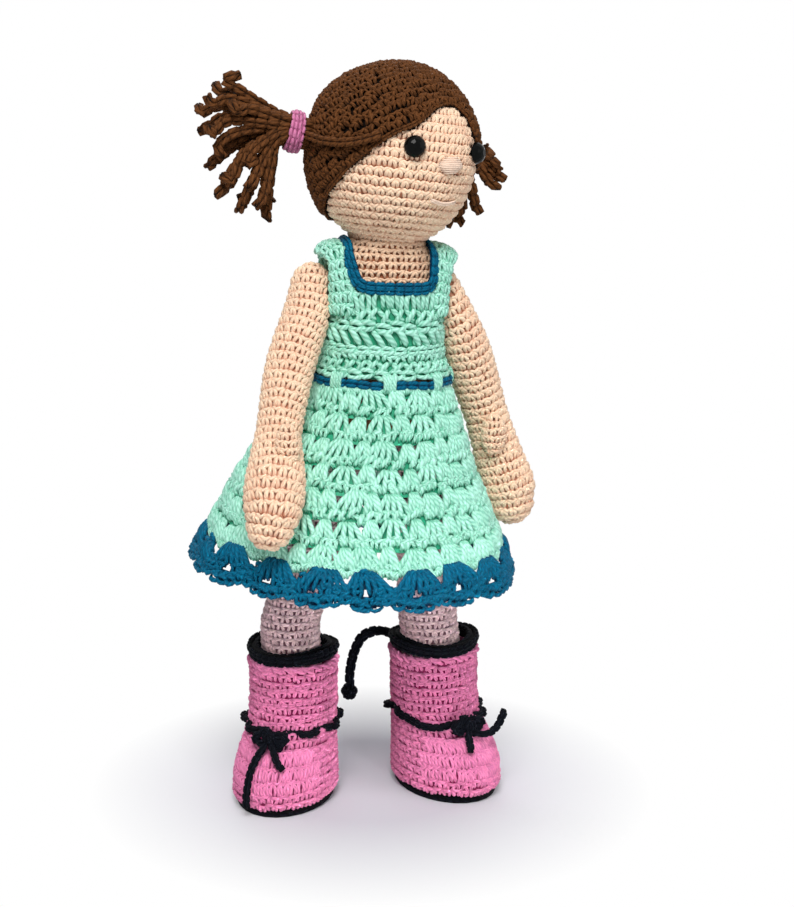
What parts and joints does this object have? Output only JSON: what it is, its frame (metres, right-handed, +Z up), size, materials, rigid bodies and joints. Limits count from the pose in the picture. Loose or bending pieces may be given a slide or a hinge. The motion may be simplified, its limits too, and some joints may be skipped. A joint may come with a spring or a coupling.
{
  "type": "amigurumi doll",
  "caption": "Crocheted, stuffed doll that stands on its own: round head with two bunches, straight arms, a sleeveless openwork dress with a shell border and laced ankle boots.",
  "frame": {"origin": "on the floor under the middle of the doll's box, measured without the loose cord ends", "axes": "+Z up, the doll's body faces -Y and its own left side is at +X"},
  "size_m": [0.1648, 0.153, 0.3394],
  "materials": {
    "skin_yarn": "matte single crochet",
    "hair_yarn": "matte single crochet and chains",
    "mint_yarn": "soft shine, open shell stitch",
    "blue_yarn": "soft shine, shell stitch",
    "tights_yarn": "matte single crochet",
    "boot_yarn": "matte crochet",
    "navy_yarn": "matte crochet and chains",
    "tie_yarn": "soft shine",
    "thread": "soft shine",
    "eye_plastic": "polished dome",
    "washer_plastic": "moulded"
  },
  "bodies": {
    "torso": {"body": "skin_yarn", "boot_cuff_left": "navy_yarn", "boot_cuff_right": "navy_yarn", "boot_sole_left": "navy_yarn", "boot_sole_right": "navy_yarn", "boot_upper_left": "boot_yarn", "boot_upper_right": "boot_yarn", "bow_left": "navy_yarn", "bow_right": "navy_yarn", "dress_bodice": "mint_yarn", "dress_skirt": "mint_yarn", "hem_border": "blue_yarn", "lace_end_long_left": "navy_yarn", "lace_end_long_right": "navy_yarn", "lace_end_short_left": "navy_yarn", "lace_end_short_right": "navy_yarn", "lace_left": "navy_yarn", "lace_right": "navy_yarn", "leg_left": "tights_yarn", "leg_right": "tights_yarn", "neckline_trim": "blue_yarn", "pull_cord_left": "navy_yarn", "pull_cord_right": "navy_yarn", "pull_knob_left": "navy_yarn", "pull_knob_right": "navy_yarn", "waist_ribbon": "blue_yarn"},
    "head": {"head": "skin_yarn", "hair_cap": "hair_yarn", "eye_right": "eye_plastic", "eye_left": "eye_plastic", "eye_washer_right": "washer_plastic", "eye_washer_left": "washer_plastic", "nose_stitches": "thread", "mouth_stitch": "thread", "hair_tie_right": "tie_yarn", "hair_tie_left": "tie_yarn", "bunch_right": "hair_yarn", "bunch_left": "hair_yarn", "hair_lock_right": "hair_yarn", "hair_lock_left": "hair_yarn"},
    "arm_right": {"arm_right": "skin_yarn", "thumb_right": "skin_yarn"},
    "arm_left": {"arm_left": "skin_yarn", "thumb_left": "skin_yarn"}
  },
  "joints": [
    {"name": "head_turn", "type": "hinge", "parent": "torso", "child": "head", "pos_m": [0.00717, -0.00155, 0.26492], "axis": [0.1132, 0, 0.9936], "range_deg": [-70, 20]},
    {"name": "arm_right_swing", "type": "hinge", "parent": "torso", "child": "arm_right", "pos_m": [-0.03047, -0.00155, 0.23953], "axis": [-0.999, 0, 0.0436], "range_deg": [0, 80]},
    {"name": "arm_left_swing", "type": "hinge", "parent": "torso", "child": "arm_left", "pos_m": [0.04246, -0.00155, 0.23635], "axis": [-0.999, 0, 0.0436], "range_deg": [-8, 100]}
  ]
}
